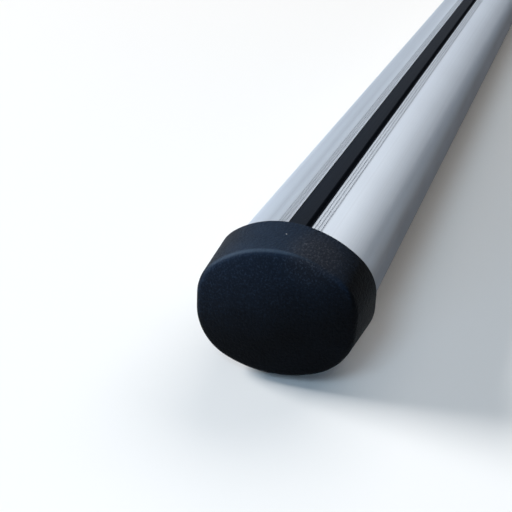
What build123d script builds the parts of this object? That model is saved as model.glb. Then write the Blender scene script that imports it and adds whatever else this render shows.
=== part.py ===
from build123d import *
from math import asin, cos, degrees, radians, sin, sqrt, tan
import os

# A heavy-duty roof rack crossbar, in millimetres: one hollow aluminium extrusion
# with an accessory slot on top and a foot slot below, a rubber strip in each slot,
# and a moulded cap pushed over each end and held by two screws from below.
# X runs along the bar, Z is up, and the origin is under the middle of the bar at
# the level of the caps' lowest points.

# Extrusion
bar_length = 1200.0
bar_width = 56.0
bar_height = 45.0
crown_radius = 35.0
keel_radius = 45.0
flank_height = 5.0
bar_wall = 2.2
chamber_corner_radius = 2.0

# Slots in the extrusion
top_slot_width = 9.0
foot_slot_width = 10.0
lip_depth = 3.2
channel_width = 20.0
top_channel_depth = 8.0
foot_channel_depth = 7.0
channel_corner_radius = 0.8
slot_lip_radius = 0.4

# Fine grooves beside the top slot
groove_count = 3
groove_radius = 0.3
first_groove_distance = 1.3
groove_pitch = 1.2

# Rubber strips
strip_end_gap = 0.5
strip_flange_width = 14.0
strip_flange_thickness = 1.6
strip_leg_thickness = 1.4
strip_leg_spacing = 9.0
strip_edge_radius = 0.3
top_strip_neck_width = 6.4
top_strip_side_clearance = 0.2
top_strip_recess = 0.5
foot_strip_neck_width = 9.2
foot_strip_recess = 0.4

# End caps
collar_proud = 3.0
collar_fit_clearance = 0.2
collar_overlap = 11.0
cap_reach = 24.5
cap_draft = 5.6
face_dome_radius = 160.0
face_plan_rake = 5.6
face_back_rake = 11.8
face_edge_radius = 2.4
face_wall = 2.6
tongue_reach = 16.0
tongue_clearance = 0.25
rib_thickness = 1.5
rib_row_height = 6.0
rib_column_distance = 19.0

# Cap screws
screw_shank_diameter = 4.0
screw_head_diameter = 7.6
screw_head_angle = 90.0
screw_length = 7.0
screw_socket_size = 2.6
screw_socket_depth = 1.3
screw_hole_clearance = 0.2
screw_setback = 5.5
screw_keel_angle = 21.0

# Sizes that follow from the ones above
bar_end = bar_length / 2
half_width = bar_width / 2
half_height = bar_height / 2
draft = radians(cap_draft)
axis_height = half_height + collar_proud
half_flank = flank_height / 2
chamber_side = channel_width / 2 + bar_wall
top_channel_roof = half_height - lip_depth
top_channel_floor = top_channel_roof - top_channel_depth
foot_channel_floor = lip_depth - half_height
foot_channel_roof = foot_channel_floor + foot_channel_depth
ring_x = bar_end - collar_overlap
screw_hole_depth = collar_proud + 2 * bar_wall
face_edge_reach = face_edge_radius * (1 - tan(radians(15)))
face_edge_rise = face_edge_reach * tan(radians(30))
face_normal = Vector(-1, -tan(radians(face_plan_rake)), tan(radians(face_back_rake))).normalized()
face_apex = Vector(-ring_x - cap_reach, 0, axis_height)
face_centre = face_apex - face_normal * face_dome_radius


def section_plane(x, outward=1):
    """Cross-section plane at x, with its origin on the bar's axis, facing along +X or -X."""
    return Plane(origin=(x, 0, axis_height), x_dir=(0, outward, 0), z_dir=(outward, 0, 0))


def corner_radius(width, height, arc_radius):
    """Radius of the corner arc that is tangent to a crown or keel arc and to the flank."""
    drop = arc_radius - (height - half_flank)
    return (arc_radius**2 - drop**2 - width**2) / (2 * (arc_radius - width))


def section_outline(inset):
    """Outline of the bar's section, moved inwards by inset, or outwards where it is negative."""
    width = half_width - inset
    height = half_height - inset
    crown = crown_radius - inset
    keel = keel_radius - inset
    shoulder = corner_radius(width, height, crown)
    bilge = corner_radius(width, height, keel)
    crown_angle = degrees(asin((width - shoulder) / (crown - shoulder)))
    keel_angle = degrees(asin((width - bilge) / (keel - bilge)))
    with BuildLine() as outline:
        CenterArc((0, height - crown), crown, 90 - crown_angle, 2 * crown_angle)
        CenterArc((width - shoulder, half_flank), shoulder, 0, 90 - crown_angle)
        Line((width, half_flank), (width, -half_flank))
        CenterArc((width - bilge, -half_flank), bilge, 0, keel_angle - 90)
        CenterArc((0, keel - height), keel, -90 - keel_angle, 2 * keel_angle)
        CenterArc((bilge - width, -half_flank), bilge, 180, 90 - keel_angle)
        Line((-width, half_flank), (-width, -half_flank))
        CenterArc((shoulder - width, half_flank), shoulder, 180, crown_angle - 90)
    make_face(outline.edges())


def crown_height(y):
    """Height of the bar's top surface over its axis, at a distance y from the middle."""
    return half_height - crown_radius + sqrt(crown_radius**2 - y**2)


def side_chambers(inset):
    """Section of the two chambers beside the channels, each drawn smaller by inset."""
    with BuildSketch() as chambers:
        section_outline(bar_wall)
        Rectangle(2 * chamber_side, bar_height, mode=Mode.SUBTRACT)
        offset(amount=-inset - chamber_corner_radius, mode=Mode.REPLACE)
        offset(amount=chamber_corner_radius, mode=Mode.REPLACE)
    return chambers.sketch_local


def slot_strip(neck_width, neck_shift, neck_top, channel_depth):
    """Section of a slot strip with its flange's upper face on the sketch's X axis."""
    Rectangle(strip_flange_width, strip_flange_thickness, align=(Align.CENTER, Align.MAX))
    with Locations((neck_shift, 0)):
        Rectangle(neck_width, neck_top, align=(Align.CENTER, Align.MIN))
    with GridLocations(strip_leg_spacing, 0, 2, 1):
        Rectangle(strip_leg_thickness, channel_depth, align=(Align.CENTER, Align.MAX))


def slot_plane(lip_height, up):
    """Cross-section plane at a strip's end, its origin inside the lips, with Y out of the slot."""
    return Plane(origin=(strip_end_gap - bar_end, 0, axis_height + lip_height),
                 x_dir=(0, up, 0), z_dir=(1, 0, 0))


def rib_grid():
    """Section of the cap's ribs: two level walls crossed by two upright ones."""
    with GridLocations(0, 2 * rib_row_height, 1, 2):
        Rectangle(bar_width, rib_thickness)
    with GridLocations(2 * rib_column_distance, 0, 2, 1):
        Rectangle(rib_thickness, bar_height)


def screw_plane(end, side):
    """Plane on the collar's underside at a cap screw, facing out of the collar."""
    angle = radians(screw_keel_angle)
    surface_radius = keel_radius + collar_proud - screw_setback * tan(draft)
    keel_centre_z = axis_height + keel_radius - half_height
    normal = Vector(0, side * sin(angle), -cos(angle))
    foot = Vector(end * (ring_x + screw_setback), 0, keel_centre_z) + normal * surface_radius
    return Plane(origin=foot, x_dir=(1, 0, 0), z_dir=normal)


screw_planes = [screw_plane(end, side) for end in (-1, 1) for side in (-1, 1)]
os.makedirs("parts", exist_ok=True)

# Extrusion: outline, channels and slots, chambers and grooves, drawn out at one go.
groove_offsets = [top_slot_width / 2 + first_groove_distance + i * groove_pitch
                  for i in range(groove_count)]
with BuildPart() as bar_extrusion:
    with BuildSketch(section_plane(-bar_end)) as bar_section:
        section_outline(0)
        with Locations((0, top_channel_roof)):
            RectangleRounded(channel_width, top_channel_depth, channel_corner_radius,
                             align=(Align.CENTER, Align.MAX), mode=Mode.SUBTRACT)
            Rectangle(top_slot_width, 2 * lip_depth, mode=Mode.SUBTRACT)
        with Locations((0, foot_channel_floor)):
            RectangleRounded(channel_width, foot_channel_depth, channel_corner_radius,
                             align=(Align.CENTER, Align.MIN), mode=Mode.SUBTRACT)
            Rectangle(foot_slot_width, 2 * lip_depth, mode=Mode.SUBTRACT)
        lips = bar_section.vertices().filter_by(lambda v: abs(v.Y) > half_height - lip_depth / 2
                                                and abs(v.X) < channel_width / 2)
        fillet(lips, slot_lip_radius)
        core_top = top_channel_floor - bar_wall
        core_bottom = foot_channel_roof + bar_wall
        with Locations((0, (core_top + core_bottom) / 2)):
            RectangleRounded(channel_width, core_top - core_bottom, chamber_corner_radius,
                             mode=Mode.SUBTRACT)
        with Locations(*[(side * y, crown_height(y)) for y in groove_offsets for side in (-1, 1)]):
            Circle(groove_radius, mode=Mode.SUBTRACT)
        add(side_chambers(0), mode=Mode.SUBTRACT)
    extrude(amount=bar_length)
    with Locations(*screw_planes):
        Hole((screw_shank_diameter + screw_hole_clearance) / 2, depth=screw_hole_depth)
bar_extrusion.part.label = "bar_extrusion"
export_step(bar_extrusion.part, "parts/bar_extrusion.step")

# Top strip, lying against the slot's +Y lip, with its flange under both lips.
top_neck_shift = (top_slot_width - top_strip_neck_width) / 2 - top_strip_side_clearance
with BuildPart() as top_slot_strip:
    with BuildSketch(slot_plane(top_channel_roof, 1)) as top_strip_section:
        slot_strip(top_strip_neck_width, top_neck_shift, lip_depth - top_strip_recess,
                   top_channel_depth)
        fillet(top_strip_section.vertices().group_by(Axis.Y)[-1], strip_edge_radius)
    extrude(amount=bar_length - 2 * strip_end_gap)
top_slot_strip.part.label = "top_slot_strip"
export_step(top_slot_strip.part, "parts/top_slot_strip.step")

# Lower strip, which closes the foot slot in the bar's underside.
with BuildPart() as foot_slot_strip:
    with BuildSketch(slot_plane(foot_channel_floor, -1)) as foot_strip_section:
        slot_strip(foot_strip_neck_width, 0, lip_depth - foot_strip_recess, foot_channel_depth)
        fillet(foot_strip_section.vertices().group_by(Axis.Y)[-1], strip_edge_radius)
    extrude(amount=bar_length - 2 * strip_end_gap)
foot_slot_strip.part.label = "foot_slot_strip"
export_step(foot_slot_strip.part, "parts/foot_slot_strip.step")

# Left end cap: a drafted collar closed by a domed, raked face, hollow behind the face.
inner_face_radius = face_dome_radius - face_wall
with BuildPart() as cap_hollow:
    with BuildSketch(section_plane(-bar_end, -1)):
        section_outline(-collar_fit_clearance)
    extrude(amount=cap_reach, taper=cap_draft)
    with Locations(face_centre):
        Sphere(inner_face_radius, mode=Mode.INTERSECT)

# Egg-crate ribs in the hollow, whose free edges stop the bar's end.
with BuildPart() as cap_ribs:
    with BuildSketch(section_plane(-bar_end, -1)):
        rib_grid()
    extrude(amount=cap_reach)
    add(cap_hollow.part, mode=Mode.INTERSECT)

# The ribs run on as tongues into the bar's two side chambers.
with BuildPart() as cap_tongues:
    with BuildSketch(section_plane(tongue_reach - bar_end, -1)):
        rib_grid()
        add(side_chambers(tongue_clearance), mode=Mode.INTERSECT)
    extrude(amount=tongue_reach)

# The face's edge is rounded off in two flats that touch the edge radius at 30 and 60 degrees.
with BuildPart() as left_end_cap:
    with BuildSketch(section_plane(-ring_x, -1)):
        section_outline(-collar_proud)
    extrude(amount=2 * cap_reach, taper=cap_draft)
    with Locations(face_centre):
        Sphere(face_dome_radius, mode=Mode.INTERSECT)
    dome = left_end_cap.faces().filter_by(GeomType.SPHERE)[0]
    chamfer(dome.edges(), face_edge_rise, face_edge_reach, reference=dome)
    chamfer(left_end_cap.faces().filter_by(GeomType.SPHERE).edges(), face_edge_reach - face_edge_rise)
    with BuildSketch(section_plane(-ring_x, -1)):
        section_outline(-collar_fit_clearance)
    extrude(amount=collar_overlap, mode=Mode.SUBTRACT)
    add(cap_hollow.part, mode=Mode.SUBTRACT)
    add(cap_ribs.part)
    add(cap_tongues.part)
    with Locations(*screw_planes):
        CounterSinkHole((screw_shank_diameter + screw_hole_clearance) / 2,
                        screw_head_diameter / 2, depth=screw_hole_depth,
                        counter_sink_angle=screw_head_angle)
left_end_cap.part.label = "left_end_cap"
export_step(left_end_cap.part, "parts/left_end_cap.step")

# Right end cap, the left one's mirror image.
with BuildPart() as right_end_cap:
    mirror(left_end_cap.part, about=Plane.YZ)
right_end_cap.part.label = "right_end_cap"
export_step(right_end_cap.part, "parts/right_end_cap.step")

# Countersunk socket screws, two under each collar, threaded into the bar's wall.
head_height = (screw_head_diameter - screw_shank_diameter) / 2 / tan(radians(screw_head_angle / 2))
with BuildPart() as cap_screws:
    for place in screw_planes:
        axis_plane = Plane(origin=place.origin, x_dir=place.x_dir, z_dir=-place.y_dir)
        with BuildSketch(axis_plane):
            with BuildLine():
                Polyline((0, 0), (screw_head_diameter / 2, 0),
                         (screw_shank_diameter / 2, -head_height),
                         (screw_shank_diameter / 2, -screw_length),
                         (0, -screw_length), close=True)
            make_face()
        revolve(axis=Axis(place.origin, place.z_dir))
        with BuildSketch(place):
            RegularPolygon(screw_socket_size / 2, 6)
        extrude(amount=-screw_socket_depth, mode=Mode.SUBTRACT)
cap_screws.part.label = "cap_screws"
export_step(cap_screws.part, "parts/cap_screws.step")
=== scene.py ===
import logging
import math
from abc import ABC, abstractmethod
from dataclasses import dataclass
from enum import Enum
from typing import Optional, Sequence, Union

import bmesh
import bpy
from mathutils import Matrix, Vector
from mathutils.geometry import tessellate_polygon


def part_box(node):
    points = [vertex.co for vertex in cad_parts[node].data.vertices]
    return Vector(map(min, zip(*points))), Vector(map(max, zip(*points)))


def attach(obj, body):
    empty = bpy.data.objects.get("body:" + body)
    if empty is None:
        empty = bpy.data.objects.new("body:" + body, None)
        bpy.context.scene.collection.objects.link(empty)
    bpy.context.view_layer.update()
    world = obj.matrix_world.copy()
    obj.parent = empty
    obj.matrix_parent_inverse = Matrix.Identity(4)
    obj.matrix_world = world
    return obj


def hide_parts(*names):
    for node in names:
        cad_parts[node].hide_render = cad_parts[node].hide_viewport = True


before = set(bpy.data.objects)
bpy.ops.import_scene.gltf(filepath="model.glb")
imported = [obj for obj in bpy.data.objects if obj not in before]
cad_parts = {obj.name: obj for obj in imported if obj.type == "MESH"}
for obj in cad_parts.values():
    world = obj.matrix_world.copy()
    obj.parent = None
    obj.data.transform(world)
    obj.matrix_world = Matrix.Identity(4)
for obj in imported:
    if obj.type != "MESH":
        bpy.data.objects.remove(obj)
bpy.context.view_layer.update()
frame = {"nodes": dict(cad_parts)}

LOG = logging.getLogger("crossbar")
MM = 0.001
# weight of the face's edge on the cap, for its wear and its painted highlight
EDGE_WEAR_AND_HIGHLIGHT = "edge_wear"

Number = Union[float, int]
Span = tuple[float, float]
Point = tuple[float, float, float]
Colour = tuple[float, float, float, float]
Stops = Sequence[tuple[float, Number]]


class End(Enum):
    """The two ends of the bar, by the sign of X there."""

    LEFT = -1
    RIGHT = 1

    @property
    def node(self) -> str:
        """Name of the CAD node of this end's cap."""
        return f"{self.name.lower()}_end_cap"


# Shader graph

class Signal:
    """A shader socket that Python's operators work on, adding Math nodes."""

    def __init__(self, graph: "Graph", socket: Optional[bpy.types.NodeSocket]) -> None:
        """Wraps an output socket of one of the graph's nodes."""
        self.graph = graph
        self.socket = socket

    def _math(self, operation: str, first: "Operand", second: "Operand") -> "Signal":
        """Adds a Math node for an operation on two operands."""
        return self.graph.node("ShaderNodeMath", {"operation": operation}, {0: first, 1: second})

    def __add__(self, other: "Operand") -> "Signal":
        """Sum."""
        return self._math("ADD", self, other)

    def __radd__(self, other: "Operand") -> "Signal":
        """Reflected sum."""
        return self._math("ADD", other, self)

    def __sub__(self, other: "Operand") -> "Signal":
        """Difference."""
        return self._math("SUBTRACT", self, other)

    def __rsub__(self, other: "Operand") -> "Signal":
        """Reflected difference."""
        return self._math("SUBTRACT", other, self)

    def __mul__(self, other: "Operand") -> "Signal":
        """Product."""
        return self._math("MULTIPLY", self, other)

    def __rmul__(self, other: "Operand") -> "Signal":
        """Reflected product."""
        return self._math("MULTIPLY", other, self)


Operand = Union[Signal, Number]


class Graph:
    """The node tree of one material or of the world."""

    def __init__(self, tree: bpy.types.NodeTree) -> None:
        """Takes over a node tree and empties it."""
        self.tree = tree
        tree.nodes.clear()

    def node(self, kind: str, settings: Optional[dict] = None, sockets: Optional[dict] = None,
             output: Union[int, str] = 0) -> Signal:
        """Adds any node.

        Args:
            kind: the node's type.
            settings: its own settings, set first; "stops" holds a ramp's positions and levels.
            sockets: values or signals for the input sockets, by name or number.
            output: the output socket to return.

        Returns:
            The chosen output as a signal.
        """
        made = self.tree.nodes.new(kind)
        for name, value in (settings or {}).items():
            if name == "stops":
                self._set_stops(made.color_ramp, value)
            else:
                setattr(made, name, value)
        for name, value in (sockets or {}).items():
            if isinstance(value, Signal):
                self.tree.links.new(value.socket, made.inputs[name])
            else:
                made.inputs[name].default_value = value
        return Signal(self, made.outputs[output] if made.outputs else None)

    @staticmethod
    def _set_stops(ramp: bpy.types.ColorRamp, stops: Stops) -> None:
        """Gives a ramp its stops.

        Args:
            ramp: the ramp, with two stops of its own.
            stops: positions and grey levels, two or more.
        """
        while len(ramp.elements) < len(stops):
            ramp.elements.new(1.0)
        for element, (position, level) in zip(ramp.elements, stops):
            element.position = position
            element.color = (level, level, level, 1.0)

    def place(self) -> Signal:
        """The point on the object, in metres in the CAD frame."""
        return self.node("ShaderNodeTexCoord", output="Object")

    def across(self) -> Signal:
        """Distance from the middle plane of the bar, in metres along Y."""
        return self.node("ShaderNodeSeparateXYZ", sockets={0: self.place()}, output="Y")

    def facing(self, weights: Point) -> Signal:
        """How far the surface faces a direction, the same way at both ends of the bar.

        Args:
            weights: the direction's shares along the bar, across it and up.

        Returns:
            The level, from -1 to 1 for weights of length 1.
        """
        normal = self.node("ShaderNodeNewGeometry", output="Normal")
        along, across, up = (self.node("ShaderNodeSeparateXYZ", sockets={0: normal}, output=axis)
                             for axis in "XYZ")
        return weights[0] * self.absolute(along) + weights[1] * across + weights[2] * up

    def absolute(self, level: Signal) -> Signal:
        """The level without its sign."""
        return self.node("ShaderNodeMath", {"operation": "ABSOLUTE"}, {0: level})

    def distance(self, centre: Point) -> Signal:
        """Distance from a point of the object, in metres."""
        return self.node("ShaderNodeVectorMath", {"operation": "DISTANCE"},
                         {0: self.place(), 1: centre}, output="Value")

    def span(self, level: Signal, ends: Span, first: float = 0.0, last: float = 1.0) -> Signal:
        """Maps a level smoothly, from first at one end of a range to last at the other."""
        return self.node("ShaderNodeMapRange", {"interpolation_type": "SMOOTHSTEP"}, {
            "Value": level, "From Min": ends[0], "From Max": ends[1],
            "To Min": first, "To Max": last})

    def stretched(self, scale: Point) -> Signal:
        """The point on the object, scaled by the features per metre along each axis."""
        return self.node("ShaderNodeMapping", sockets={"Vector": self.place(), "Scale": scale})

    def noise(self, where: Signal, scale: float = 1.0, detail: float = 3.0,
              roughness: float = 0.5) -> Signal:
        """Soft noise about 0.5, with some octaves of detail and the finer ones' weight."""
        return self.node("ShaderNodeTexNoise", sockets={
            "Vector": where, "Scale": scale, "Detail": detail, "Roughness": roughness})

    def ramp(self, level: Signal, stops: Stops) -> Signal:
        """Maps a level through positions and grey levels."""
        return self.node("ShaderNodeValToRGB", {"stops": stops}, {"Fac": level})

    def mix(self, share: Signal, first: Union[Signal, Colour],
            second: Union[Signal, Colour]) -> Signal:
        """Mixes two colours, by the share of the second."""
        return self.node("ShaderNodeMix", {"data_type": "RGBA"}, {0: share, 6: first, 7: second},
                         output=2)

    def bump(self, height: Signal, depth: float) -> Signal:
        """A normal that follows a height from 0 to 1, as deep as given in metres."""
        return self.node("ShaderNodeBump", sockets={
            "Strength": 1.0, "Distance": depth, "Height": height})


def patchy(cloud: Signal, shares: Span) -> Signal:
    """A share that varies with a cloud: what is there at least, and what the cloud adds."""
    return shares[0] + shares[1] * cloud


# Finishes

class Finish(ABC):
    """A surface finish, which makes its material once."""

    slot: str

    def material(self) -> bpy.types.Material:
        """The finish's material, made the first time it is asked for."""
        known = bpy.data.materials.get(f"{self.slot}_finish")
        return known or self._make()

    def _make(self) -> bpy.types.Material:
        """Makes the material around a Principled shader.

        Returns:
            The new material.
        """
        material = bpy.data.materials.new(f"{self.slot}_finish")
        material.use_nodes = True
        graph = Graph(material.node_tree)
        shader = graph.node("ShaderNodeBsdfPrincipled", sockets=self.sockets(graph))
        graph.node("ShaderNodeOutputMaterial", sockets={"Surface": shader})
        return material

    @abstractmethod
    def sockets(self, graph: Graph) -> dict:
        """Values and signals for the Principled shader's sockets."""


@dataclass(frozen=True)
class AnodisedAluminium(Finish):
    """Silver anodised metal with fine drawing lines along the bar, painted shade in the grooves and
    grey painted shade low on the flanks.
    """

    slot: str = "anodised_aluminium"
    bright: Colour = (0.62, 0.675, 0.745, 1.0)
    dull: Colour = (0.572, 0.62, 0.685, 1.0)
    edge_tint: Colour = (0.28, 0.31, 0.38, 1.0)
    streak_weight: float = 0.25
    line_weight: float = 0.45
    patch_weight: float = 0.30
    tone_stops: Stops = ((0.36, 0.0), (0.62, 1.0))
    roughness: float = 0.55
    roughness_swing: float = 0.07
    lines_per_metre: float = 3200.0
    line_breaks_per_metre: float = 5.0
    line_depth: float = 0.012 * MM
    streaks_per_metre: float = 260.0
    streak_breaks_per_metre: float = 5.0 / 3
    patches_per_metre: float = 28.0
    # painted shade: the band of grooves beside the slot is darkened in colour, standing in for the
    # shade in its fine grooves
    painted_groove_shade: Colour = (0.20, 0.215, 0.24, 1.0)
    painted_groove_shade_reach: Span = (8.4 * MM, 9.0 * MM)
    painted_groove_shade_share: float = 0.30
    # painted shade: grey mixed into the metal on faces that turn sideways and down, for a darker
    # reflection on the lower flanks
    painted_flank_shade: Colour = (0.26, 0.257, 0.258, 1.0)
    painted_flank_shade_direction: Point = (0.0, 0.05, 1.0)
    painted_flank_shade_facing: Span = (0.14, 0.66)
    painted_flank_shade_share: float = 0.80
    painted_flank_shade_patches: Span = (0.8, 0.4)

    def sockets(self, graph: Graph) -> dict:
        """Sockets of the metal.

        Args:
            graph: the material's nodes.

        Returns:
            Values and signals for the Principled shader's sockets.
        """
        lines, streaks = (
            graph.noise(graph.stretched((along, across, across)), detail=detail)
            for along, across, detail in (
                (self.line_breaks_per_metre, self.lines_per_metre, 3.0),
                (self.streak_breaks_per_metre, self.streaks_per_metre, 2.0)))
        patches = graph.noise(graph.place(), self.patches_per_metre)
        mottle = (self.streak_weight * streaks + self.line_weight * lines
                  + self.patch_weight * patches)
        metal = graph.mix(graph.ramp(mottle, self.tone_stops), self.dull, self.bright)
        # painted shade over the slot's lips and the grooves beside them
        groove_shade_mask = graph.span(graph.absolute(graph.across()), self.painted_groove_shade_reach,
                             self.painted_groove_shade_share, 0.0)
        metal_with_groove_shade = graph.mix(groove_shade_mask, metal, self.painted_groove_shade)
        # painted shade, strongest where the surface turns down, broken up by the patches
        below = graph.span(graph.facing(self.painted_flank_shade_direction), self.painted_flank_shade_facing,
                           self.painted_flank_shade_share, 0.0)
        return {
            "Base Color": graph.mix(below * patchy(patches, self.painted_flank_shade_patches), metal_with_groove_shade,
                                    self.painted_flank_shade),
            "Metallic": 1.0,
            "Specular Tint": self.edge_tint,
            "Roughness": self.roughness + self.roughness_swing * (streaks - 0.5)
                         + 0.5 * self.roughness_swing * (lines - 0.5),
            "Normal": graph.bump(lines, self.line_depth),
        }


@dataclass(frozen=True)
class CapPlastic(Finish):
    """Blue-black moulded plastic with a fine grain, dust with painted sky light on top, worn edges
    with a painted highlight, painted glints and one scuff.
    """

    slot: str = "cap_plastic"
    base: Colour = (0.0004, 0.0006, 0.0012, 1.0)
    pale: Colour = (0.0018, 0.0025, 0.0040, 1.0)
    tone_stops: Stops = ((0.38, 0.0), (0.66, 1.0))
    roughness: float = 0.57
    index: float = 1.13
    sheen: float = 0.012
    sheen_roughness: float = 0.5
    sheen_tint: Colour = (0.55, 0.78, 1.0, 1.0)
    grains_per_metre: float = 1050.0
    grain_weight: float = 0.6
    grain_stops: Stops = ((0.36, 0.0), (0.62, 1.0))
    grain_depth: float = 0.14 * MM
    grain_roughness: float = 0.10
    clouds_per_metre: float = 90.0
    cloud_roughness: float = 0.12
    # partly dust, partly painted sky light: a pale blue film on the faces that look up and to the
    # side
    dust_and_skylight: Colour = (0.0090, 0.0165, 0.0310, 1.0)
    dust_and_skylight_direction: Point = (0.35, 0.25, 0.90)
    dust_and_skylight_facing: Span = (0.45, 0.75)
    dust_and_skylight_patches: Span = (0.45, 1.1)
    # faces towards +Y get less of the pale film and of the edge's painted highlight
    rear_direction: Point = (0.0, 1.0, 0.0)
    rear_facing: Span = (0.25, 0.75)
    rear_share: float = 0.25
    # lighter blue along the face's edge where it looks up: partly pale wear, partly a painted
    # highlight
    lighter_tone: Colour = (0.042, 0.062, 0.090, 1.0)
    wear_and_highlight_facing: Span = (0.75, 0.96)
    wear_and_highlight_patches: Span = (0.3, 1.2)
    wear_polish: float = 0.1
    scuffed: Colour = (0.029, 0.029, 0.034, 1.0)
    scuff_place: Point = (-601.0 * MM, -13.0 * MM, 47.0 * MM)
    scuff_reach: Span = (5.0 * MM, 14.0 * MM)
    scuff_share: float = 0.55
    # painted glints: pale blue specks of the grain on the faces that look up, standing in for
    # highlights; lighter specks in the scuff are its own colour
    painted_glint: Colour = (0.030, 0.048, 0.078, 1.0)
    scuff_speck: Colour = (0.074, 0.077, 0.090, 1.0)
    speck_pattern_per_metre: float = 1470.0
    speck_pattern_stops: Stops = ((0.51, 0.0), (0.68, 1.0))
    glint_facing: Span = (0.45, 0.61)
    glint_share: float = 0.36
    scuff_speck_share: float = 0.3
    dust: Colour = (0.42, 0.42, 0.42, 1.0)
    dust_place: Point = (-596.31 * MM, 0.46 * MM, 50.27 * MM)
    dust_radius: float = 0.22 * MM

    def sockets(self, graph: Graph) -> dict:
        """Sockets of the plastic.

        Args:
            graph: the material's nodes.

        Returns:
            Values and signals for the Principled shader's sockets.
        """
        grain = graph.noise(graph.place(), self.grains_per_metre, roughness=self.grain_weight)
        cloud = graph.noise(graph.place(), self.clouds_per_metre)
        tone = graph.ramp(0.5 * cloud + 0.5 * grain, self.tone_stops)
        # how far a face looks up and to the side, where the painted sky light, the edge's painted
        # highlight and the glints go
        facing = graph.facing(self.dust_and_skylight_direction)
        rear = graph.span(graph.facing(self.rear_direction), self.rear_facing, 1.0, self.rear_share)
        dust_and_skylight_mask = graph.span(facing, self.dust_and_skylight_facing) * rear
        scuff = graph.span(graph.distance(self.scuff_place), self.scuff_reach, 1.0, 0.0) * dust_and_skylight_mask
        # the face's edge: polished by wear, and given a painted highlight where it looks up
        edge = graph.node("ShaderNodeAttribute", {"attribute_name": EDGE_WEAR_AND_HIGHLIGHT}, output="Fac")
        wear_and_highlight = (edge * rear * graph.span(facing, self.wear_and_highlight_facing)
                * patchy(cloud, self.wear_and_highlight_patches))
        coat = graph.mix(tone, self.base, self.pale)
        coat = graph.mix(dust_and_skylight_mask * patchy(cloud, self.dust_and_skylight_patches), coat, self.dust_and_skylight)
        coat = graph.mix(self.scuff_share * scuff, coat, self.scuffed)
        coat = graph.mix(wear_and_highlight, coat, self.lighter_tone)
        # painted glints on the faces that look up, and lighter specks in the scuff
        speck_pattern = graph.ramp(graph.noise(graph.place(), self.speck_pattern_per_metre, detail=2.0,
                                        roughness=self.grain_weight), self.speck_pattern_stops)
        glints_and_scuff_specks = speck_pattern * (self.glint_share * graph.span(facing, self.glint_facing)
                            + self.scuff_speck_share * scuff)
        coat = graph.mix(glints_and_scuff_specks, coat, graph.mix(scuff, self.painted_glint, self.scuff_speck))
        speck = graph.node("ShaderNodeMath", {"operation": "LESS_THAN"},
                           {0: graph.distance(self.dust_place), 1: self.dust_radius})
        return {
            "Base Color": graph.mix(speck, coat, self.dust),
            "Roughness": self.roughness + self.cloud_roughness * (cloud - 0.5)
                         + self.grain_roughness * (0.5 - grain) - self.wear_polish * wear_and_highlight,
            "IOR": self.index,
            "Sheen Weight": self.sheen,
            "Sheen Roughness": self.sheen_roughness,
            "Sheen Tint": self.sheen_tint,
            "Normal": graph.bump(graph.ramp(grain, self.grain_stops), self.grain_depth),
        }


@dataclass(frozen=True)
class SlotRubber(Finish):
    """Blue-black extruded rubber with a little dust on it."""

    slot: str = "slot_rubber"
    base: Colour = (0.008, 0.012, 0.019, 1.0)
    dust: Colour = (0.05, 0.052, 0.056, 1.0)
    dust_stops: Stops = ((0.62, 0.0), (0.80, 0.5))
    roughness: float = 0.60
    roughness_swing: float = 0.16
    shine: float = 0.05
    streak_scale: Point = (14.0, 1500.0, 1500.0)
    specks_per_metre: float = 1100.0
    depth: float = 0.02 * MM

    def sockets(self, graph: Graph) -> dict:
        """Sockets of the rubber.

        Args:
            graph: the material's nodes.

        Returns:
            Values and signals for the Principled shader's sockets.
        """
        streaks = graph.noise(graph.stretched(self.streak_scale))
        specks = graph.noise(graph.place(), self.specks_per_metre, detail=4.0, roughness=0.7)
        return {
            "Base Color": graph.mix(graph.ramp(specks, self.dust_stops), self.base, self.dust),
            "Roughness": self.roughness + self.roughness_swing * (streaks - 0.5),
            "Specular IOR Level": self.shine,
            "Normal": graph.bump(0.5 * streaks + 0.5 * specks, self.depth),
        }


@dataclass(frozen=True)
class ScrewSteel(Finish):
    """Stainless steel with faint turning marks."""

    slot: str = "screw_steel"
    base: Colour = (0.50, 0.50, 0.51, 1.0)
    lighter_tone: Colour = (0.62, 0.62, 0.62, 1.0)
    roughness: float = 0.30
    roughness_swing: float = 0.20
    marks_per_metre: float = 2400.0
    mark_depth: float = 0.01 * MM
    clouds_per_metre: float = 350.0

    def sockets(self, graph: Graph) -> dict:
        """Sockets of the steel.

        Args:
            graph: the material's nodes.

        Returns:
            Values and signals for the Principled shader's sockets.
        """
        marks = graph.noise(graph.place(), self.marks_per_metre)
        cloud = graph.noise(graph.place(), self.clouds_per_metre, detail=2.0)
        return {
            "Base Color": graph.mix(cloud, self.base, self.lighter_tone),
            "Metallic": 1.0,
            "Roughness": self.roughness + self.roughness_swing * (marks - 0.5),
            "Normal": graph.bump(marks, self.mark_depth),
        }


@dataclass(frozen=True)
class FloorPaper(Finish):
    """Plain pale paper under the bar."""

    slot: str = "floor_paper"
    pale: Colour = (0.95, 0.91, 0.87, 1.0)
    roughness: float = 0.95
    shine: float = 0.1

    def sockets(self, graph: Graph) -> dict:
        """Values for the Principled shader's sockets."""
        return {"Base Color": self.pale, "Roughness": self.roughness,
                "Specular IOR Level": self.shine}


# Outlines across the bar

def mirrored(points: Sequence[Vector]) -> list[Vector]:
    """Points of a section, moved to the other side of the bar."""
    return [Vector((-point.x, point.y)) for point in points]


@dataclass(frozen=True)
class EdgePoint:
    """A point of an outline, with the direction out of it there."""

    place: Vector
    outward: Vector

    def moved(self, distance: float) -> Vector:
        """The point, moved outwards by a distance."""
        return self.place + self.outward * distance

    def mirrored(self) -> "EdgePoint":
        """The point's twin on the other side of the bar."""
        return EdgePoint(*mirrored([self.place, self.outward]))


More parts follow.
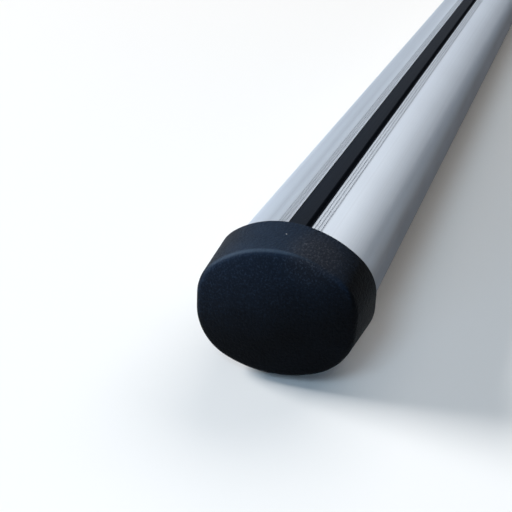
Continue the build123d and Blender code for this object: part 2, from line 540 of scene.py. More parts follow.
def places(points: Sequence[EdgePoint]) -> list[Vector]:
    """The places of outline points."""
    return [point.place for point in points]


def arc(centre: Sequence[float], radius: float, start: float, end: float,
        step: float) -> list[EdgePoint]:
    """Points of an arc, both ends included.

    Args:
        centre: the arc's centre across and up.
        radius: the arc's radius.
        start: start angle, anticlockwise from the positive first axis.
        end: end angle, smaller than start for a clockwise arc.
        step: longest angle between two points.

    Returns:
        The points, each with the direction away from the centre.
    """
    count = max(2, math.ceil(abs(end - start) / step))
    points = []
    for index in range(count + 1):
        angle = start + (end - start) * index / count
        direction = Vector((math.cos(angle), math.sin(angle)))
        points.append(EdgePoint(Vector(centre) + direction * radius, direction))
    return points


def sweep(centre: Vector, start: Vector, end: Vector, radius: float, count: int) -> list[Vector]:
    """Points round a centre from one direction to another, both ends included."""
    return [centre + start.slerp(end, index / count) * radius for index in range(count + 1)]


def rounded(corners: Sequence[Point], step: float) -> list[Vector]:
    """A straight-sided outline with rounded corners.

    Args:
        corners: each corner's two coordinates and its radius.
        step: longest angle between two points of a rounding.

    Returns:
        The outline's points in order.
    """
    points: list[Vector] = []
    for index, (across, up, radius) in enumerate(corners):
        corner = Vector((across, up))
        before = Vector(corners[index - 1][:2]) - corner
        after = Vector(corners[(index + 1) % len(corners)][:2]) - corner
        if radius == 0:
            points.append(corner)
            continue
        before.normalize()
        after.normalize()
        half = before.angle(after) / 2
        centre = corner + (before + after).normalized() * radius / math.sin(half)
        reach = radius / math.tan(half)
        start = corner + before * reach - centre
        end = corner + after * reach - centre
        first = math.atan2(start.y, start.x)
        turn = math.remainder(math.atan2(end.y, end.x) - first, math.tau)
        points += places(arc(centre, radius, first, first + turn, step))
    return points


@dataclass(frozen=True)
class Bow:
    """The crown or the keel of the bar's outline, with the corner that joins it to the flank.

    Its angles are taken from the upright through the axis, towards +Y.
    """

    radius: float
    up: int
    half_width: float
    half_height: float
    half_flank: float

    @property
    def centre(self) -> Vector:
        """Centre of the arc."""
        return Vector((0.0, self.up * (self.half_height - self.radius)))

    @property
    def corner_radius(self) -> float:
        """Radius of the corner between the arc and the flank."""
        drop = self.radius - (self.half_height - self.half_flank)
        return ((self.radius**2 - drop**2 - self.half_width**2)
                / (2 * (self.radius - self.half_width)))

    @property
    def half_angle(self) -> float:
        """Angle where the arc meets the corner."""
        corner = self.corner_radius
        return math.asin((self.half_width - corner) / (self.radius - corner))

    def point(self, angle: float, inset: float = 0.0) -> Vector:
        """A point of the arc, moved inwards by an inset."""
        direction = Vector((math.sin(angle), self.up * math.cos(angle)))
        return self.centre + direction * (self.radius - inset)

    def stretch(self, start: float, end: float, step: float, inset: float = 0.0) -> list[EdgePoint]:
        """Part of the arc from one angle to another, moved inwards by an inset."""
        first, last = (self.up * (math.pi / 2 - angle) for angle in (start, end))
        return arc(self.centre, self.radius - inset, first, last, step)

    def corner(self, inset: float, step: float) -> list[EdgePoint]:
        """The corner on the +Y side from the arc to the flank, moved inwards by an inset."""
        centre = (self.half_width - self.corner_radius, self.up * self.half_flank)
        return arc(centre, self.corner_radius - inset, self.up * (math.pi / 2 - self.half_angle),
                   0.0, step)

    def rounding(self, wall: float, inset: float, radius: float,
                 step: float) -> tuple[float, list[EdgePoint]]:
        """The rounding between an upright wall and the arc.

        Args:
            wall: distance of the wall from the middle.
            inset: distance of the arc inwards from the outline.
            radius: radius of the rounding.
            step: longest angle between two points.

        Returns:
            The angle where the rounding meets the arc, and its points from the wall to there.
        """
        angle = math.asin((wall + radius) / (self.radius - inset - radius))
        return angle, arc(self.point(angle, inset + radius), radius, self.up * math.pi,
                          self.up * (math.pi / 2 - angle), step)


@dataclass(frozen=True)
class BarSection:
    """The bar's oval outline about its axis: crown, shoulders, flanks, bilges and keel."""

    half_width: float
    half_height: float
    crown_radius: float = 35.0 * MM
    keel_radius: float = 45.0 * MM
    half_flank: float = 2.5 * MM

    @property
    def crown(self) -> Bow:
        """The arc over the axis."""
        return Bow(self.crown_radius, 1, self.half_width, self.half_height, self.half_flank)

    @property
    def keel(self) -> Bow:
        """The arc under the axis."""
        return Bow(self.keel_radius, -1, self.half_width, self.half_height, self.half_flank)

    def side(self, inset: float, step: float) -> list[EdgePoint]:
        """Shoulder, flank and bilge of the +Y side from top to bottom, moved inwards."""
        return self.crown.corner(inset, step) + self.keel.corner(inset, step)[::-1]

    def loop(self, step: float) -> list[EdgePoint]:
        """The whole outline, clockwise from the crown's -Y end.

        Args:
            step: longest angle between two points.

        Returns:
            The points, without a repeated one.
        """
        top = self.crown.stretch(-self.crown.half_angle, self.crown.half_angle, step / 2)
        bottom = self.keel.stretch(self.keel.half_angle, -self.keel.half_angle, step / 2)
        right = self.side(0.0, step)
        left = [point.mirrored() for point in reversed(right)]
        return top[:-1] + right + bottom[1:-1] + left[:-1]


# Mesh helpers

def mesh_object(name: str, mesh: bmesh.types.BMesh) -> bpy.types.Object:
    """Turns a finished bmesh into an object of the scene.

    Args:
        name: name of the piece.
        mesh: the bmesh, which is freed.

    Returns:
        The new object.
    """
    bmesh.ops.recalc_face_normals(mesh, faces=mesh.faces)
    data = bpy.data.meshes.new(name)
    mesh.to_mesh(data)
    mesh.free()
    piece = bpy.data.objects.new(name, data)
    bpy.context.collection.objects.link(piece)
    return piece


def bridge(mesh: bmesh.types.BMesh, rings: Sequence[Sequence[bmesh.types.BMVert]]) -> None:
    """Joins each ring of vertices to the next one.

    Args:
        mesh: the bmesh that holds the rings.
        rings: rings of equal length, in order.
    """
    for ring, following in zip(rings, rings[1:]):
        for index in range(len(ring)):
            after = (index + 1) % len(ring)
            mesh.faces.new((ring[index], ring[after], following[after], following[index]))


def extrude_outline(name: str, outline: Sequence[Vector], holes: Sequence[Sequence[Vector]],
                    stations: Sequence[float], height: float) -> bpy.types.Object:
    """Draws a section out along X.

    Args:
        name: name of the piece.
        outline: the section's outer points across and up.
        holes: the outlines of the closed chambers.
        stations: X of every cross-section, in order.
        height: height of the section's own origin over the floor.

    Returns:
        The closed piece.
    """
    mesh = bmesh.new()
    loops = [list(outline), *[list(hole) for hole in holes]]
    rows = [[[mesh.verts.new((x, point.x, point.y + height)) for point in loop] for loop in loops]
            for x in stations]
    for row, following in zip(rows, rows[1:]):
        for rings in zip(row, following):
            bridge(mesh, rings)
    flat = [[Vector((point.x, point.y, 0.0)) for point in loop] for loop in loops]
    for row in (rows[0], rows[-1]):
        corners = [vertex for loop in row for vertex in loop]
        for triangle in tessellate_polygon(flat):
            if mesh.faces.get([corners[index] for index in triangle]) is None:
                mesh.faces.new([corners[index] for index in triangle])
    return mesh_object(name, mesh)


def box(name: str, low: Sequence[float], high: Sequence[float]) -> bpy.types.Object:
    """A block between its lowest and highest corners.

    Args:
        name: name of the block.
        low: its lowest corner.
        high: its highest corner.

    Returns:
        The block.
    """
    mesh = bmesh.new()
    size = Vector(high) - Vector(low)
    middle = Matrix.Translation((Vector(low) + Vector(high)) / 2)
    bmesh.ops.create_cube(mesh, size=1.0, matrix=middle @ Matrix.Diagonal((*size, 1.0)))
    return mesh_object(name, mesh)


def turned(name: str, profile: Sequence[Span], sides: int, place: Matrix) -> bpy.types.Object:
    """A solid turned about its Z axis.

    Args:
        name: name of the solid.
        profile: radius and height of each ring, from top to bottom.
        sides: number of points round a ring.
        place: where the solid's own axes lie.

    Returns:
        The closed solid.
    """
    mesh = bmesh.new()
    turns = [math.tau * index / sides for index in range(sides)]
    rings = [[mesh.verts.new(place @ Vector((radius * math.cos(turn), radius * math.sin(turn),
                                             height))) for turn in turns]
             for radius, height in profile]
    bridge(mesh, rings)
    mesh.faces.new(rings[0])
    mesh.faces.new(list(reversed(rings[-1])))
    return mesh_object(name, mesh)


class Join(Enum):
    """How a second solid changes the first."""

    ADD = "UNION"
    CUT = "DIFFERENCE"
    KEEP = "INTERSECT"


def combine(piece: bpy.types.Object, tool: bpy.types.Object, join: Join) -> None:
    """Adds, cuts or intersects a piece with a tool, and removes the tool.

    Args:
        piece: the piece that is changed.
        tool: the second solid.
        join: what is done with it.
    """
    modifier = piece.modifiers.new(join.name, "BOOLEAN")
    modifier.operation = join.value
    modifier.solver = "EXACT"
    modifier.object = tool
    bpy.context.view_layer.update()
    shaped = bpy.data.meshes.new_from_object(
        piece.evaluated_get(bpy.context.evaluated_depsgraph_get()))
    piece.modifiers.clear()
    old = piece.data
    piece.data = shaped
    bpy.data.meshes.remove(old)
    bpy.data.objects.remove(tool)


def dress(piece: bpy.types.Object, finish: Finish, node: str, sharp_angle: float = 32.0) -> None:
    """Gives a piece its finish, smooth shading and its place in the frame.

    Args:
        piece: the finished mesh.
        finish: its surface finish.
        node: the CAD node that it stands for.
        sharp_angle: edges that turn by more degrees than this stay sharp.
    """
    piece.data.materials.clear()
    piece.data.materials.append(finish.material())
    for polygon in piece.data.polygons:
        polygon.use_smooth = True
    piece.data.set_sharp_from_angle(angle=math.radians(sharp_angle))
    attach(piece, "root")
    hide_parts(node)
    LOG.info("%s: %d faces", piece.name, len(piece.data.polygons))


# The bar's pieces

@dataclass(frozen=True)
class BarFrame:
    """What the scene takes from the CAD frame: the section and the places along the bar."""

    section: BarSection
    axis_height: float
    bar_end: float
    collar_proud: float
    collar_overlap: float = 11.0 * MM

    @classmethod
    def from_cad(cls) -> "BarFrame":
        """Reads the boxes of the extrusion and of the cap in view.

        Returns:
            The frame.
        """
        bar_low, bar_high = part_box("bar_extrusion")
        cap_low, cap_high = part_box(End.LEFT.node)
        half_width = (bar_high.y - bar_low.y) / 2
        proud = (cap_high.y - cap_low.y) / 2 - half_width
        half_height = (cap_high.z - cap_low.z) / 2 - proud
        return cls(BarSection(half_width, half_height), (cap_high.z + cap_low.z) / 2, bar_high.x,
                   proud)

    @property
    def ring_distance(self) -> float:
        """Distance of the collars' rear edges from the middle of the bar."""
        return self.bar_end - self.collar_overlap

    def spot(self, x: float, across: Vector) -> Vector:
        """A point of the part, from X and a point of the section."""
        return Vector((x, across.x, across.y + self.axis_height))


@dataclass(frozen=True)
class ScrewHoles:
    """The cap screws' holes, square to the collars' undersides."""

    frame: BarFrame
    setback: float = 5.5 * MM
    keel_angle: float = math.radians(21.0)
    draft: float = math.radians(5.6)
    radius: float = 2.1 * MM
    depth: float = 7.4 * MM
    seat_radius: float = 3.8 * MM
    drill_overshoot: float = 5.0 * MM
    drill_sides: int = 48
    seat_overshoot: float = 1.0 * MM
    seat_sides: int = 64

    def matrices(self, ends: Sequence[End]) -> list[Matrix]:
        """Places of the holes, each with Z out of the collar.

        Args:
            ends: the ends whose holes are wanted.

        Returns:
            One matrix for each hole.
        """
        keel = self.frame.section.keel
        reach = keel.radius + self.frame.collar_proud - self.setback * math.tan(self.draft)
        along = Vector((1.0, 0.0, 0.0))
        found = []
        for end in ends:
            for side in (-1, 1):
                outward = Vector((0.0, side * math.sin(self.keel_angle),
                                  -math.cos(self.keel_angle)))
                foot = self.frame.spot(end.value * (self.frame.ring_distance + self.setback),
                                       keel.centre)
                turn = Matrix((along, outward.cross(along), outward)).transposed()
                found.append(Matrix.Translation(foot + outward * reach) @ turn.to_4x4())
        return found

    def _cut(self, piece: bpy.types.Object, ends: Sequence[End], profile: Sequence[Span],
             sides: int) -> None:
        """Cuts a turned profile out of a piece at every hole of the given ends."""
        for place in self.matrices(ends):
            combine(piece, turned("hole", profile, sides, place), Join.CUT)

    def drill(self, bar: bpy.types.Object) -> None:
        """Drills the plain holes of both ends into the bar."""
        profile = [(self.radius, self.drill_overshoot), (self.radius, -self.depth)]
        self._cut(bar, list(End), profile, self.drill_sides)

    def countersink(self, cap: bpy.types.Object) -> None:
        """Cuts the left end's countersunk holes into its cap."""
        profile = [(self.seat_radius + self.seat_overshoot, self.seat_overshoot),
                   (self.radius, self.radius - self.seat_radius), (self.radius, -self.depth)]
        self._cut(cap, [End.LEFT], profile, self.seat_sides)


@dataclass(frozen=True)
class Slot:
    """A slot between two lips and the channel behind it, in the crown or in the keel."""

    up: int
    half_width: float
    depth: float


@dataclass(frozen=True)
class Extrusion:
    """The aluminium bar, drawn from one section with its slots, chambers and grooves."""

    frame: BarFrame
    holes: ScrewHoles
    finish: Finish
    top_slot: Slot = Slot(1, 4.5 * MM, 8.0 * MM)
    foot_slot: Slot = Slot(-1, 5.0 * MM, 7.0 * MM)
    wall: float = 2.2 * MM
    chamber_radius: float = 2.0 * MM
    lip_depth: float = 3.2 * MM
    lip_radius: float = 0.4 * MM
    channel_half_width: float = 10.0 * MM
    channel_radius: float = 0.8 * MM
    groove_radius: float = 0.2 * MM
    groove_offsets: tuple[float, ...] = (5.8 * MM, 7.0 * MM, 8.2 * MM)
    hole_margin: float = 1.0 * MM
    step: float = math.radians(5.0)
    lip_step: float = math.radians(20.0)
    chamber_step: float = math.radians(15.0)
    groove_step: float = math.radians(30.0)

    def _grooved_crown(self, start: float) -> list[Vector]:
        """The crown of the +Y side, with its grooves.

        Args:
            start: angle from the upright where the slot's lip ends.

        Returns:
            The points from the lip to the shoulder.
        """
        crown = self.frame.section.crown
        half_gap = 2 * math.asin(self.groove_radius / (2 * crown.radius))
        half_turn = math.acos(self.groove_radius / (2 * crown.radius))
        points: list[Vector] = []
        for offset in self.groove_offsets:
            middle = math.asin(offset / crown.radius)
            first = math.pi / 2 - middle + half_turn
            groove = arc(crown.point(middle), self.groove_radius, first,
                         first + math.tau - 2 * half_turn, self.groove_step)
            points += places(crown.stretch(start, middle - half_gap, self.step) + groove[1:-1])
            start = middle + half_gap
        return points + places(crown.stretch(start, crown.half_angle, self.step))

    def _channel(self, slot: Slot) -> list[Vector]:
        """Half a channel's outline on the +Y side.

        Args:
            slot: the channel's slot.

        Returns:
            The points from the middle of the channel's back to the slot.
        """
        mouth = slot.up * (self.frame.section.half_height - self.lip_depth)
        back = mouth - slot.up * slot.depth
        outer, radius = self.channel_half_width, self.channel_radius
        return rounded([(0.0, back, 0.0), (outer, back, radius), (outer, mouth, radius),
                        (slot.half_width, mouth, 0.0)], self.lip_step)

    def _half_outline(self) -> list[Vector]:
        """The section's outline on the +Y side.

        Returns:
            The points from the back of the top channel round to the back of the foot channel.
        """
        section = self.frame.section
        start, top_lip = section.crown.rounding(self.top_slot.half_width, 0.0, self.lip_radius,
                                                self.lip_step)
        end, foot_lip = section.keel.rounding(self.foot_slot.half_width, 0.0, self.lip_radius,
                                              self.lip_step)
        keel = section.keel.stretch(section.keel.half_angle, end, self.step)
        below = section.side(0.0, self.step)[1:] + keel[1:] + foot_lip[:-1][::-1]
        return (self._channel(self.top_slot) + places(top_lip) + self._grooved_crown(start)[1:]
                + places(below) + self._channel(self.foot_slot)[::-1])

    def chambers(self) -> list[list[Vector]]:
        """Outlines of the closed chambers.

        Returns:
            The two side chambers' outlines, and the core's.
        """
        section, radius, fine = self.frame.section, self.chamber_radius, self.chamber_step
        edge = self.channel_half_width + self.wall
        start, upper = section.crown.rounding(edge, self.wall, radius, fine)
        end, lower = section.keel.rounding(edge, self.wall, radius, fine)
        crown = section.crown.stretch(start, section.crown.half_angle, self.step, self.wall)
        keel = section.keel.stretch(section.keel.half_angle, end, self.step, self.wall)
        chamber = places(upper + crown[1:] + section.side(self.wall, self.step)[1:] + keel[1:]
                         + lower[:-1][::-1])
        top, bottom = (slot.up * (section.half_height - self.lip_depth - slot.depth - self.wall)
                       for slot in (self.top_slot, self.foot_slot))
        outer = self.channel_half_width
        core = rounded([(outer, top, radius), (outer, bottom, radius), (-outer, bottom, radius),
                        (-outer, top, radius)], fine)
        return [chamber, mirrored(chamber), core]

    def build(self) -> bpy.types.Object:
        """Makes the bar.

        Returns:
            The dressed bar.
        """
        half = self._half_outline()
        outline = half + mirrored(half[::-1][1:-1])
        near_hole = self.frame.ring_distance + self.hole_margin
        stations = [-self.frame.bar_end, -near_hole, near_hole, self.frame.bar_end]
        bar = extrude_outline("aluminium_bar", outline, self.chambers(), stations,
                              self.frame.axis_height)
        self.holes.drill(bar)
        dress(bar, self.finish, "bar_extrusion")
        return bar


@dataclass(frozen=True)
class SlotStrip:
    """A rubber strip, its flange under a slot's lips and two legs on the channel's floor."""

    frame: BarFrame
    finish: Finish
    node: str
    slot: Slot
    neck_half_width: float
    neck_shift: float
    recess: float
    lip_depth: float = 3.2 * MM
    end_gap: float = 0.5 * MM
    flange_half_width: float = 7.0 * MM
    flange_thickness: float = 1.6 * MM
    leg_thickness: float = 1.4 * MM
    leg_offset: float = 4.5 * MM
    edge_radius: float = 0.3 * MM
    step: float = math.radians(22.5)

    def _corners(self) -> list[Point]:
        """The section's corners, over the level of the flange's upper face.

        Returns:
            Each corner's place across and up, and its radius.
        """
        left, right = self.neck_shift - self.neck_half_width, self.neck_shift + self.neck_half_width
        top, under, foot = self.lip_depth - self.recess, -self.flange_thickness, -self.slot.depth
        inner, outer = (self.leg_offset + side * self.leg_thickness / 2 for side in (-1, 1))
        corners = [(right, 0.0, 0.0), (right, top, self.edge_radius), (left, top, self.edge_radius),
                   (left, 0.0, 0.0), (-self.flange_half_width, 0.0, 0.0),
                   (-self.flange_half_width, under, 0.0)]
        for start, end in ((-outer, -inner), (inner, outer)):
            corners += [(start, under, 0.0), (start, foot, 0.0),
                        (end, foot, 0.0), (end, under, 0.0)]
        return corners + [(self.flange_half_width, under, 0.0), (self.flange_half_width, 0.0, 0.0)]

    def build(self) -> bpy.types.Object:
        """Makes the strip.

        Returns:
            The dressed strip.
        """
        up, flange_height = self.slot.up, self.frame.section.half_height - self.lip_depth
        outline = [Vector((up * point.x, up * (point.y + flange_height)))
                   for point in rounded(self._corners(), self.step)]
        reach = self.frame.bar_end - self.end_gap
        strip = extrude_outline(f"rubber_{self.node}", outline, [], [-reach, reach],
                                self.frame.axis_height)
        dress(strip, self.finish, self.node)
        return strip


@dataclass(frozen=True)
class EndCap:
    """A moulded cap: a drafted collar closed by a domed, raked face, with ribs and tongues."""

    frame: BarFrame
    holes: ScrewHoles
    finish: Finish
    end: End
    fit: float = 0.2 * MM
    reach: float = 24.5 * MM
    draft: float = math.radians(5.6)
    dome_radius: float = 160.0 * MM
    plan_rake: float = math.radians(5.6)
    back_rake: float = math.radians(11.8)
    face_edge_radius: float = 2.4 * MM
    rear_edge_radius: float = 0.5 * MM
    face_wall: float = 2.6 * MM
    rib_half_thickness: float = 0.75 * MM
    rib_row_height: float = 6.0 * MM
    rib_column_distance: float = 19.0 * MM
    rib_reach: float = 40.0 * MM
    rib_weld: float = 0.4 * MM
    tongue_reach: float = 16.0 * MM
    tongue_clearance: float = 0.25 * MM
    tongue_root: float = 0.5 * MM
    tongue_room_overshoot: float = 1.0 * MM
    step: float = math.radians(2.4)
    face_rings: int = 16
    edge_rings: int = 9
    rear_rings: int = 4
    inner_rings: int = 8
    wear_and_highlight_lead: int = 2
    wear_and_highlight_skew: float = 1.5

    @property
    def face_normal(self) -> Vector:
        """Direction out of the left cap's face at its apex."""
        return Vector((-1.0, -math.tan(self.plan_rake), math.tan(self.back_rake))).normalized()

    @property
    def apex(self) -> Vector:
        """Top of the left cap's dome, on the bar's axis."""
        return Vector((-self.frame.ring_distance - self.reach, 0.0, self.frame.axis_height))

    @property
    def dome_centre(self) -> Vector:
        """Centre of the left cap's dome."""
        return self.apex - self.face_normal * self.dome_radius

    def _line(self, point: EdgePoint, x: float, outset: float) -> tuple[Vector, Vector, Vector]:
        """A straight line of a drafted wall.

        Args:
            point: the outline point that the line belongs to.
            x: where the line starts.
            outset: distance of the start outside the bar's outline.

        Returns:
            The line's start, its direction for one unit of X, and the wall's normal.
        """
        start = self.frame.spot(x, point.moved(outset))
        across = Vector((0.0, point.outward.x, point.outward.y))
        direction = Vector((-1.0, 0.0, 0.0)) - across * math.tan(self.draft)
        normal = across * math.cos(self.draft) - Vector((math.sin(self.draft), 0.0, 0.0))
        return start, direction, normal

    def _reach_dome(self, start: Vector, direction: Vector, depth: float) -> Vector:
        """The point where a line leaves a dome that lies inside the cap's own.

        Args:
            start: a point of the line inside the dome.
            direction: the line's direction.
            depth: how far inside the cap's own dome it lies.

        Returns:
            The point on the dome.
        """
        offset = start - self.dome_centre
        a, b = direction.dot(direction), 2 * offset.dot(direction)
        c = offset.dot(offset) - (self.dome_radius - depth)**2
        return start + direction * (-b + math.sqrt(b * b - 4 * a * c)) / (2 * a)

    def _outer_rings(self, loop: list[EdgePoint]) -> list[list[Vector]]:
        """Rings of the cap's outside, from near the apex to the collar's rear face.

        Args:
            loop: the bar's outline.

        Returns:
            Rings of points.
        """
        centre, rear = self.dome_centre, Vector((1.0, 0.0, 0.0))
        run = self.rear_edge_radius * (1 + math.sin(self.draft)) / math.cos(self.draft)
        columns = []
        for point in loop:
            start, direction, normal = self._line(point, -self.frame.ring_distance,
                                                  self.frame.collar_proud)
            ball = self._reach_dome(start - normal * self.face_edge_radius, direction,
                                    self.face_edge_radius)
            face = (ball - centre).normalized()
            rounding = start - normal * self.rear_edge_radius + direction * run
            columns.append(
                sweep(centre, self.face_normal, face, self.dome_radius, self.face_rings)[1:]
                + sweep(ball, face, normal, self.face_edge_radius, self.edge_rings)[1:]
                + sweep(rounding, normal, rear, self.rear_edge_radius, self.rear_rings))
        return [list(ring) for ring in zip(*columns)]

    def _inner_rings(self, loop: list[EdgePoint], outset: float, wall: float) -> list[list[Vector]]:
        """Rings of a drafted hollow, from the bar's end to near its apex.

        Args:
            loop: the bar's outline.
            outset: distance of the hollow's mouth outside the bar's outline.
            wall: distance of its domed end behind the cap's face.

        Returns:
            Rings of points.
        """
        centre, radius = self.dome_centre, self.dome_radius - wall
        columns = []
        for point in loop:
            start, direction, _ = self._line(point, -self.frame.bar_end, outset)
            end = (self._reach_dome(start, direction, wall) - centre).normalized()
            columns.append([start] + sweep(centre, end, self.face_normal, radius,
                                           self.inner_rings)[:-1])
        return [list(ring) for ring in zip(*columns)]

    def _edge_wear_and_highlight(self, index: int) -> float:
        """How much wear and painted highlight a ring of the outside gets: 0 on the walls, 1 in the
        middle of the face's edge.
        """
        share = (index - self.face_rings + self.wear_and_highlight_lead) / (self.edge_rings + self.wear_and_highlight_lead)
        return math.sin(math.pi * min(max(share, 0.0), 1.0) ** self.wear_and_highlight_skew) ** 2

    def _skin(self, name: str, rings: list[list[Vector]], first: Optional[Vector],
              last: Optional[Vector]) -> bpy.types.Object:
        """Closes rings of points into a skin.

        Args:
            name: name of the skin.
            rings: the rings in order.
            first: the point that closes the first ring, or None for a flat end.
            last: the point that closes the last ring, or None for a flat end.

        Returns:
            The closed skin.
        """
        mesh = bmesh.new()
        wear_and_highlight = mesh.verts.layers.float.new(EDGE_WEAR_AND_HIGHLIGHT)
        made = [[mesh.verts.new(point) for point in ring] for ring in rings]
        for index, ring in enumerate(made):
            for vertex in ring:
                vertex[wear_and_highlight] = self._edge_wear_and_highlight(index)
        bridge(mesh, made)
        for ring, tip in ((made[0], first), (made[-1], last)):
            if tip is None:
                mesh.faces.new(ring)
                continue
            top = mesh.verts.new(tip)
            for index, vertex in enumerate(ring):
                mesh.faces.new((vertex, ring[(index + 1) % len(ring)], top))
        return mesh_object(name, mesh)

    def _hollow(self, loop: list[EdgePoint], outset: float, wall: float) -> bpy.types.Object:
        """The room behind the face as a solid.

        Args:
            loop: the bar's outline.
            outset: distance of the room's mouth outside the bar's outline.
            wall: distance of its domed end behind the cap's face.

        Returns:
            The room.
        """
        apex = self.apex - self.face_normal * wall
        return self._skin("room", self._inner_rings(loop, outset, wall), None, apex)

    def _ribs(self, start: float, end: float) -> bpy.types.Object:
        """The rib grid as one solid.

        Args:
            start: lowest X of the ribs.
            end: highest X of the ribs.

        Returns:
            The crossed walls.
        """
        section, half, height = self.frame.section, self.rib_half_thickness, self.frame.axis_height
        blocks = [box("rib", (start, -section.half_width, height + level - half),
                      (end, section.half_width, height + level + half))
                  for level in (-self.rib_row_height, self.rib_row_height)]
        blocks += [box("rib", (start, across - half, height - section.half_height),
                       (end, across + half, height + section.half_height))
                   for across in (-self.rib_column_distance, self.rib_column_distance)]
        grid = blocks[0]
        for block in blocks[1:]:
            combine(grid, block, Join.ADD)
        return grid

    def _tongue_room(self, bar: Extrusion) -> bpy.types.Object:
        """The room that the tongues may take in the two side chambers.

        Args:
            bar: the extrusion with the chambers.

        Returns:
            Both rooms as one mesh.
        """
        end = -self.frame.bar_end
        stations = [end - self.tongue_room_overshoot, end + self.tongue_reach]
        rooms = []
        for chamber in bar.chambers()[:2]:
            middle = sum(chamber, Vector((0.0, 0.0))) / len(chamber)
            inner = [point + (middle - point).normalized() * self.tongue_clearance
                     for point in chamber]
            rooms.append(extrude_outline("tongue_room", inner, [], stations,
                                         self.frame.axis_height))
        combine(rooms[0], rooms[1], Join.ADD)
        return rooms[0]

    def build(self, bar: Extrusion) -> bpy.types.Object:
        """Makes the cap.

        Args:
            bar: the extrusion whose chambers take the tongues.

        Returns:
            The dressed cap.
        """
        loop = self.frame.section.loop(self.step)
        bar_end = -self.frame.bar_end
        pocket = [[self.frame.spot(x, point.moved(self.fit)) for point in loop]
                  for x in (-self.frame.ring_distance, bar_end)]
        inside = self._inner_rings(loop, self.fit, self.face_wall)
        cap = self._skin(f"moulded_{self.end.node}", self._outer_rings(loop) + pocket + inside[1:],
                         self.apex, self.apex - self.face_normal * self.face_wall)
        ribs = self._ribs(bar_end - self.rib_reach, bar_end)
        weld = self.rib_weld
        combine(ribs, self._hollow(loop, self.fit + weld, self.face_wall - weld), Join.KEEP)
        combine(cap, ribs, Join.ADD)
        tongues = self._ribs(bar_end - self.tongue_root, bar_end + self.tongue_reach)
        combine(tongues, self._tongue_room(bar), Join.KEEP)
        combine(cap, tongues, Join.ADD)
        self.holes.countersink(cap)
        if self.end is End.RIGHT:
            cap.data.transform(Matrix.Diagonal((-1.0, 1.0, 1.0, 1.0)))
            cap.data.flip_normals()
        dress(cap, self.finish, self.end.node)
        return cap


@dataclass(frozen=True)
class CapScrews:
    """Four countersunk screws with hexagon sockets, two under each collar."""

    holes: ScrewHoles
    finish: Finish
    head_radius: float = 3.8 * MM
    shank_radius: float = 2.0 * MM
    length: float = 7.0 * MM
    socket_radius: float = 1.3 * MM
    socket_depth: float = 1.3 * MM
    socket_overshoot: float = 1.0 * MM
    edge: float = 0.12 * MM
    rim_width: float = 0.30 * MM
    rim_drop: float = 0.036 * MM
    sides: int = 64

    def _screw(self, place: Matrix) -> bpy.types.Object:
        """One screw.

        Args:
            place: where it sits, with Z out of its head.

        Returns:
            The screw.
        """
        head, shank = self.head_radius, self.shank_radius
        profile = [(head - self.rim_width, 0.0), (head - self.edge, -self.rim_drop),
                   (head - self.edge, -self.edge), (shank, shank - head),
                   (shank, self.edge - self.length), (shank - self.edge, -self.length)]
        screw = turned("screw", profile, self.sides, place)
        socket = turned("socket", [(self.socket_radius, self.socket_overshoot),
                                   (self.socket_radius, -self.socket_depth)], 6, place)
        combine(screw, socket, Join.CUT)
        return screw

    def build(self) -> bpy.types.Object:
        """Makes all four screws as one piece.

        Returns:
            The dressed screws.
        """
        mesh = bmesh.new()
        for screw in [self._screw(place) for place in self.holes.matrices(list(End))]:
            mesh.from_mesh(screw.data)
            bpy.data.objects.remove(screw)
        joined = mesh_object("steel_cap_screws", mesh)
        dress(joined, self.finish, "cap_screws")
        return joined


# The studio

@dataclass(frozen=True)
class SoftBox:
    """A rectangular soft lamp."""

    name: str
    place: Point
    aim: Point
    size: Span
    watts: float
    tint: Point

    def build(self) -> None:
        """Hangs the lamp."""
        data = bpy.data.lights.new(self.name, "AREA")
        data.shape = "RECTANGLE"
        data.size, data.size_y = self.size
        data.energy = self.watts
        data.color = self.tint
        lamp = bpy.data.objects.new(self.name, data)
        lamp.location = self.place
        lamp.rotation_euler = (Vector(self.aim) - lamp.location).to_track_quat("-Z", "Y").to_euler()
        bpy.context.collection.objects.link(lamp)


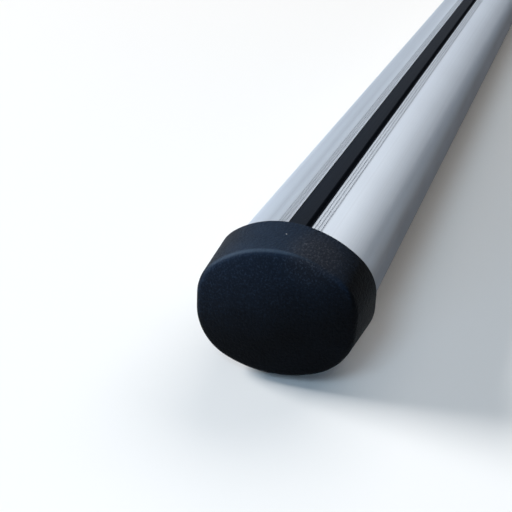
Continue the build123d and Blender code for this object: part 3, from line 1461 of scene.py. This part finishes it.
@dataclass(frozen=True)
class Studio:
    """A plain pale floor, soft lamps and the photograph's camera."""

    lamps: tuple[SoftBox, ...]
    sky: Colour = (0.86, 0.93, 1.0, 1.0)
    sky_strength: float = 0.10
    floor_half_size: float = 30.0
    camera_place: Point = (-786.459 * MM, -75.856 * MM, 176.429 * MM)
    camera_aim: Point = (-578.722 * MM, 20.357 * MM, 25.5 * MM)
    camera_roll: float = math.radians(-1.422)
    camera_clip: float = 10.0 * MM
    lens: float = 49.219
    sensor: float = 36.0

    def _floor(self) -> None:
        """Lays the floor under the caps' lowest points."""
        mesh = bmesh.new()
        bmesh.ops.create_grid(mesh, x_segments=1, y_segments=1, size=self.floor_half_size)
        floor = mesh_object("floor", mesh)
        floor.data.materials.append(FloorPaper().material())

    def _sky(self) -> None:
        """Sets the even light of the room."""
        world = bpy.data.worlds.new("room")
        bpy.context.scene.world = world
        world.use_nodes = True
        graph = Graph(world.node_tree)
        light = graph.node("ShaderNodeBackground", sockets={
            "Color": self.sky, "Strength": self.sky_strength})
        graph.node("ShaderNodeOutputWorld", sockets={"Surface": light})

    def _camera(self) -> None:
        """Puts the camera where the photograph was taken from."""
        data = bpy.data.cameras.new("photo_camera")
        data.lens, data.sensor_width = self.lens, self.sensor
        data.clip_start = self.camera_clip
        camera = bpy.data.objects.new("photo_camera", data)
        camera.location = self.camera_place
        look = (Vector(self.camera_aim) - Vector(self.camera_place)).to_track_quat("-Z", "Y")
        roll = Matrix.Rotation(self.camera_roll, 3, "Z")
        camera.rotation_euler = (look.to_matrix() @ roll).to_euler()
        bpy.context.collection.objects.link(camera)
        bpy.context.scene.camera = camera

    def build(self) -> None:
        """Builds the whole studio."""
        bpy.context.scene.view_settings.view_transform = "Standard"
        self._floor()
        self._sky()
        for lamp in self.lamps:
            lamp.build()
        self._camera()
        LOG.info("studio: %d lamps", len(self.lamps))


def photo_lamps() -> tuple[SoftBox, ...]:
    """The lamps that light the bar as in the photograph.

    Returns:
        Two large far lamps for the metal and the floor, and two small panels for the cap's face.
    """
    bar, cap = (-0.5, 0.0, 0.0), (-0.6, 0.0, 0.03)
    return (
        SoftBox("side_lamp", (-0.176, 9.264, 4.929), bar, (3.3, 3.3), 1314.0, (0.96, 0.98, 1.0)),
        SoftBox("back_lamp", (5.365, -0.513, 5.118), bar, (8.4, 3.0), 279.0, (1.0, 0.985, 0.965)),
        SoftBox("face_panel", (-2.125, 0.324, 0.39), cap, (1.0, 0.45), 8.0, (0.45, 0.70, 1.0)),
        SoftBox("edge_panel", (-1.482, 0.253, 1.341), cap, (0.6, 0.6), 7.0, (0.55, 0.78, 1.0)),
    )


def main() -> None:
    """Builds every piece of the crossbar and the studio around it."""
    logging.basicConfig(level=logging.INFO, format="%(message)s")
    cad = BarFrame.from_cad()
    holes = ScrewHoles(cad)
    bar = Extrusion(cad, holes, AnodisedAluminium())
    bar.build()
    rubber = SlotRubber()
    SlotStrip(cad, rubber, "top_slot_strip", bar.top_slot, neck_half_width=3.2 * MM,
              neck_shift=1.1 * MM, recess=0.5 * MM).build()
    SlotStrip(cad, rubber, "foot_slot_strip", bar.foot_slot, neck_half_width=4.6 * MM,
              neck_shift=0.0, recess=0.4 * MM).build()
    for end in End:
        EndCap(cad, holes, CapPlastic(), end).build(bar)
    CapScrews(holes, ScrewSteel()).build()
    Studio(photo_lamps()).build()


if __name__ == "__main__":
    main()
